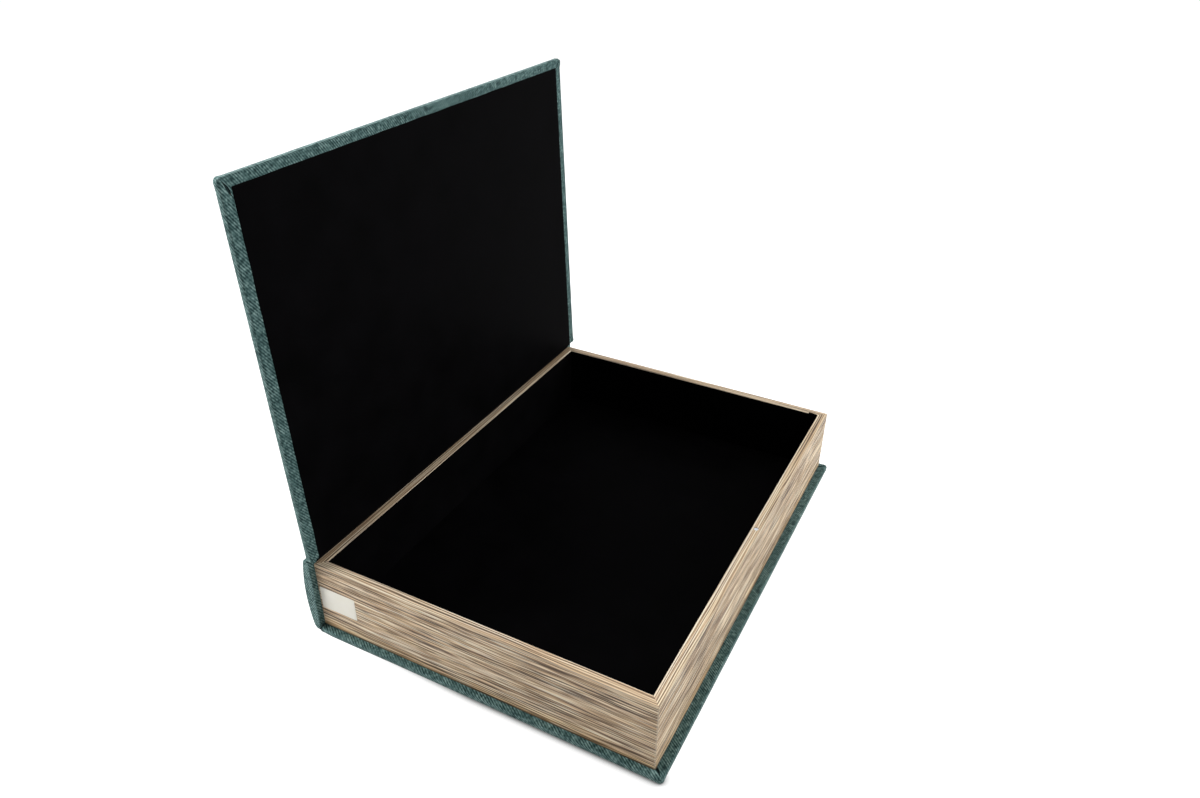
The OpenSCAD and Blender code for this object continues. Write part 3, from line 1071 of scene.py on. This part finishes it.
def wall_lining(name):
    """Black paper on the inside of one wall, up to the rim's edge."""
    side = Side(TRAY_LOW, TRAY_HIGH, name)
    face = RIM_W + PAPER
    top = RIM_Z - LINING_DROP
    upper = (top - 0.15, top - 1.5, top - 8.0)
    levels = (*upper, (top + FLOOR_Z) / 2, FLOOR_Z + 3.0, FLOOR_Z - PAPER)
    rows = [[face - 0.2, top, 0.0, 1.0], [face - 0.05, top - 0.03, 0.7, 0.7]]
    rows = np.array(rows + [[face, level, 1.0, 0.0] for level in levels])
    along, inset, height = np.moveaxis(band(side, rows, (End(), End())), -1, 0)
    ground = lifted(side.place(along, inset), height)
    height = height + 0.12 * ripple(ground * (1, 1, 0), 7.0) * smooth(top - 6.0, top, height)
    bulge = 0.04 * ripple(ground, 12.0) * rows[:, 2]
    shown = lifted(side.place(along, inset + bulge), height)
    hidden = lifted(side.place(along, np.full_like(inset, RIM_W + 0.02)), height)
    piece = Piece(f"{name}_lining_paper")
    piece.shell(shown, hidden, joined(along, run_length(rows)))
    return piece.build(BLACK_LOOK, "black_paper", f"{name}_lining")


def corner_lap():
    """The front lining's end, turned round the corner and over the right wall's rim."""
    side = Side(TRAY_LOW, TRAY_HIGH, "right")
    along = RIM_W + PAPER + np.array([0.0, 0.6, 1.5, 2.6, 3.8, 5.0, 5.9, 6.3, 6.5])
    lap = 0.15 + 0.9 * (along - along[0]) / (along[-1] - along[0])
    section = np.array([
        (-0.45, 0.02), (-0.42, 0.12), (-0.3, 0.12), (0.1, -0.05), (0.38, -0.5), (0.44, -3.0),
        (0.44, -30.0),
    ])
    inset = RIM_W + section[:, 0] - lap[:, None] * (section[:, 0] < -0.35)
    height = np.broadcast_to(RIM_Z + section[:, 1], inset.shape)
    long = np.repeat(along[:, None], len(section), 1)
    shown = lifted(side.place(long, inset), height)
    hidden = lifted(side.place(long, np.minimum(inset, RIM_W + PAPER + 0.01)), height - 0.11)
    piece = Piece("front_lining_lap")
    piece.shell(shown, hidden, joined(long, -section[:, 1]))
    return piece.build(BLACK_LOOK, "black_paper", "front_lining")


def sheet_grid(low, high, step):
    """Places over a flat rectangle, close together near its edges."""
    across = low[0] + spread(high[0] - low[0], step)
    along = low[1] + spread(high[1] - low[1], step)
    return np.stack(np.meshgrid(across, along, indexing="ij"), -1)


def edge_distance(seen, low, high):
    """How far each place is from the rectangle's nearest edge."""
    return np.minimum.reduce([
        seen[..., 0] - low[0], high[0] - seen[..., 0],
        seen[..., 1] - low[1], high[1] - seen[..., 1],
    ])


def floor_lining():
    seen = sheet_grid(TRAY_LOW + RIM_W + 0.1, TRAY_HIGH - RIM_W - 0.1, 10.0)
    shown = lifted(seen, FLOOR_Z + 0.05 * ripple(lifted(seen, 0.0), 25.0))
    piece = Piece("floor_paper")
    piece.shell(shown, shown - (0, 0, PAPER), seen)
    return piece.build(BLACK_LOOK, "black_paper", "floor_lining")


def lid_lining():
    """The lid's lining: it shows the cloth's turn-in and the magnet under it."""
    seen = sheet_grid(LINING_LOW, LINING_HIGH, 7.0)
    inset = edge_distance(seen, LINING_LOW, LINING_HIGH)
    ground = lifted(seen, 0.0)
    sway = np.stack([ripple(ground * (0, 1, 0), 16.0), ripple(ground * (1, 0, 0), 16.0)], -1)
    seen = seen + sway * (0.3 * (1 - smooth(0.0, 12.0, inset)))[..., None]
    margin = edge_distance(seen, LID_LOW, LID_HIGH)
    dip = 0.13 * smooth(TURN_IN - 1.0, TURN_IN + 1.2, margin)
    bump = 0.2 * np.exp(-((np.hypot(seen[..., 0], seen[..., 1] - LID_LOW[1] - 9.0) / 3.6) ** 4))
    proud = PAPER * smooth(-0.2, 0.35, inset) - dip + bump + 0.02 * ripple(ground, 6.0)
    piece = Piece("lid_paper")
    piece.shell(lid_place(seen, -proud), lid_place(seen, 0.2), seen)
    return piece.build(BLACK_LOOK, "black_paper", "lid_lining", body="lid")


# Magnets and label


def ring_of(points, centre, shares, heights):
    """Copies of an outline, drawn in to a centre and set at heights."""
    return [lifted(centre + (points - centre) * s, h) for s, h in zip(shares, heights)]


def rim_magnet():
    low, high = corners("rim_magnet")
    centre = ((low + high) / 2)[:2]
    angle = np.radians(np.arange(0, 360, 7.5))
    outline = centre + (high[0] - low[0]) / 2 * np.stack([np.cos(angle), np.sin(angle)], -1)
    shares = (1.0, 1.0, 0.96, 0.88, 0.5, 0.15)
    drops = (high[2] - low[2], 0.25, 0.08, 0.0, 0.0, 0.02)
    rings = ring_of(outline, centre, shares, [high[2] - drop for drop in drops])
    piece = Piece("rim_magnet_disc")
    piece.rings(rings, [r[:, :2] for r in rings])
    return piece.build(METAL_LOOK, "magnet", "rim_magnet")


def label():
    """The bare sticker, with rounded corners."""
    low, high = corners("blank_sticker")
    size = (high - low)[1:]
    radius = 0.9
    outline = []
    for across, up, first in ((1, 1, 0), (0, 1, 90), (0, 0, 180), (1, 0, 270)):
        centre = np.where((across, up), size - radius, radius)
        for angle in np.radians(first + np.linspace(0, 90, 7)):
            outline.append(centre + radius * np.array([math.cos(angle), math.sin(angle)]))
    heights = (0.0, 0.09, 0.13, 0.13, 0.13, 0.13)
    rings = ring_of(np.array(outline), size / 2, (1.0, 1.0, 0.99, 0.8, 0.5, 0.2), heights)
    placed = [joined(high[0] - r[:, 2], high[1] - r[:, 0], low[2] + r[:, 1]) for r in rings]
    piece = Piece("label")
    piece.rings(placed, [r[:, :2] for r in rings])
    return piece.build(STICKER_LOOK, "sticker_paper", "blank_sticker")


# Build


def wear(look, *nodes):
    """Gives kept CAD nodes their material."""
    for node in nodes:
        for slot in frame["nodes"][node].material_slots:
            slot.material = look


lid_cloth()
bottom_cloth()
spine_cloth()

# The hinge's cloth and lining, as (y, z) paths from the case up to the lid, with the two
# points between which each bends
TONGUE_START = (112.6, 55.7)
TONGUE_END = (112.45, 56.72)
TONGUE_PATH = ((112.75, 55.2), TONGUE_START, (112.5, 56.2), TONGUE_END, (112.2, 57.1))
TONGUE_T = 0.22
bent_strip(
    "hinge_tongue", CASE_HIGH[0] - 0.5, curve(TONGUE_PATH, 15), TONGUE_T,
    CLOTH_LOOK, "book_cloth", "hinge_cloth",
)

WEB_PATH = (
    (112.55, 39.0), (112.55, 46.0), (112.5, 51.9), (112.2, 52.9),
    (110.75, 54.85), (109.45, 56.55), (109.2, 57.2),
)
WEB_T = -0.2
bent_strip(
    "hinge_paper", LINING_HIGH[0], curve(WEB_PATH, 40), WEB_T,
    BLACK_LOOK, "black_paper", "hinge_lining",
)

papers = {name: wood_wall(name, offset) for name, offset in WALL_OFFSETS.items()}
magnet_middle = sum(corners("rim_magnet")) / 2
punch(papers["front"], (*magnet_middle[:2], RIM_Z), MAGNET_WINDOW_R, 4.0)
for name in WALL_OFFSETS:
    wall_lining(name)
corner_lap()
floor_lining()
lid_lining()
rim_magnet()
label()

wear(CASE_BOARD_LOOK, "bottom_board", "lid_board", "tray_floor")
wear(TRAY_BOARD_LOOK, "spine_board", "front_wall", "back_wall", "left_wall", "right_wall")
wear(METAL_LOOK, "lid_magnet")


# Floor, light and camera

# The floor's half size and height in metres, how light it is to the box and to the camera,
# and the strength of the even light
FLOOR_HALF = 20.0
FLOOR_DROP = -0.0001
FLOOR_TONE = 0.8
FLOOR_SEEN_TONE = 0.3
AMBIENT = 0.08

# Square lamps by name, with place, target, size and power
CASE_MIDDLE = (0, 0, 50)
LAMPS = (
    ("key", (0, 964, 1149), CASE_MIDDLE, 700, 13.9),
    ("right_front", (961, -961, 634), CASE_MIDDLE, 700, 11.5),
    ("right_back", (682, 682, 1149), CASE_MIDDLE, 700, 4.3),
    ("front", (0, -1359, 634), CASE_MIDDLE, 700, 3.1),
    ("front_top", (0, -964, 1149), CASE_MIDDLE, 700, 2.15),
    ("left_back", (-400, 550, 500), (-160, 50, 50), 250, 3.6),
)


def seen_by_eye(g):
    """1 for what the camera sees, straight or in a mirror or glass."""
    path = g.node("LightPath").outputs
    seen = g.math("MAXIMUM", path["Is Camera Ray"], path["Is Glossy Ray"])
    return g.math("MAXIMUM", seen, path["Is Transmission Ray"])


def glow_with_painted_shadow(g):
    """How brightly the floor shows: white, with a painted shadow where it nearly touches the left
    edge.
    """
    near = g.node("AmbientOcclusion")
    near.inputs["Distance"].default_value = 0.010
    x, y = g.parts(g.place())[:2]
    beside = g.span(x, -0.150, -0.160)
    along = g.span(y, 0.085, 0.0)
    shade = g.span(near.outputs["AO"], 0.50, 0.95, 0.92, 0.0)
    return g.math("SUBTRACT", 1.0, g.times(shade, g.times(beside, along)))


def white_floor():
    """A white sweep: the camera sees it white, with a narrow painted shadow beside the box."""
    signs = ((-1, -1), (1, -1), (1, 1), (-1, 1))
    square = [(x * FLOOR_HALF, y * FLOOR_HALF, FLOOR_DROP) for x, y in signs]
    mesh = bpy.data.meshes.new("floor")
    mesh.from_pydata(square, [], [(0, 1, 2, 3)])
    material = bpy.data.materials.new("white_floor")
    mesh.materials.append(material)
    g = Graph(material)
    plain = g.fill(g.node("BsdfDiffuse"), grey(FLOOR_TONE))
    pale = g.fill(g.node("BsdfDiffuse"), grey(FLOOR_SEEN_TONE))
    glow = g.fill(g.node("Emission"), grey(1.0), glow_with_painted_shadow(g))
    seen = g.fill(g.node("AddShader"), pale, glow)
    both = g.fill(g.node("MixShader"), seen_by_eye(g), plain, seen)
    g.put(g.node("OutputMaterial").inputs[0], both)
    floor = in_scene("floor", mesh)


def world_light():
    """White where it is seen or mirrored, and an even pale light elsewhere."""
    world = bpy.data.worlds.new("surroundings")
    bpy.context.scene.world = world
    g = Graph(world)
    level = g.span(seen_by_eye(g), 0.0, 1.0, AMBIENT, 1.0)
    back = g.fill(g.node("Background"), grey(1.0), level)
    g.put(g.node("OutputWorld").inputs[0], back)


def lamp(name, place, target, size, power):
    """A square soft lamp at a place, aimed at a target."""
    light = bpy.data.lights.new(name, "AREA")
    light.shape = "SQUARE"
    light.size = size * MM
    light.energy = power
    holder = in_scene(name, light)
    holder.location = Vector(place) * MM
    aim = (Vector(target) - Vector(place)).to_track_quat("-Z", "Y")
    holder.rotation_euler = aim.to_euler()


white_floor()
world_light()
for settings in LAMPS:
    lamp(*settings)

camera_data = bpy.data.cameras.new("camera")
camera_data.lens = CAMERA_LENS
camera_data.sensor_width = CAMERA_SENSOR
camera_data.sensor_fit = "HORIZONTAL"
camera = in_scene("camera", camera_data)
camera.location = Vector(CAMERA_PLACE) * MM
camera.rotation_euler = [math.radians(angle) for angle in CAMERA_TURN]
bpy.context.scene.camera = camera
bpy.context.scene.view_settings.view_transform = "Standard"
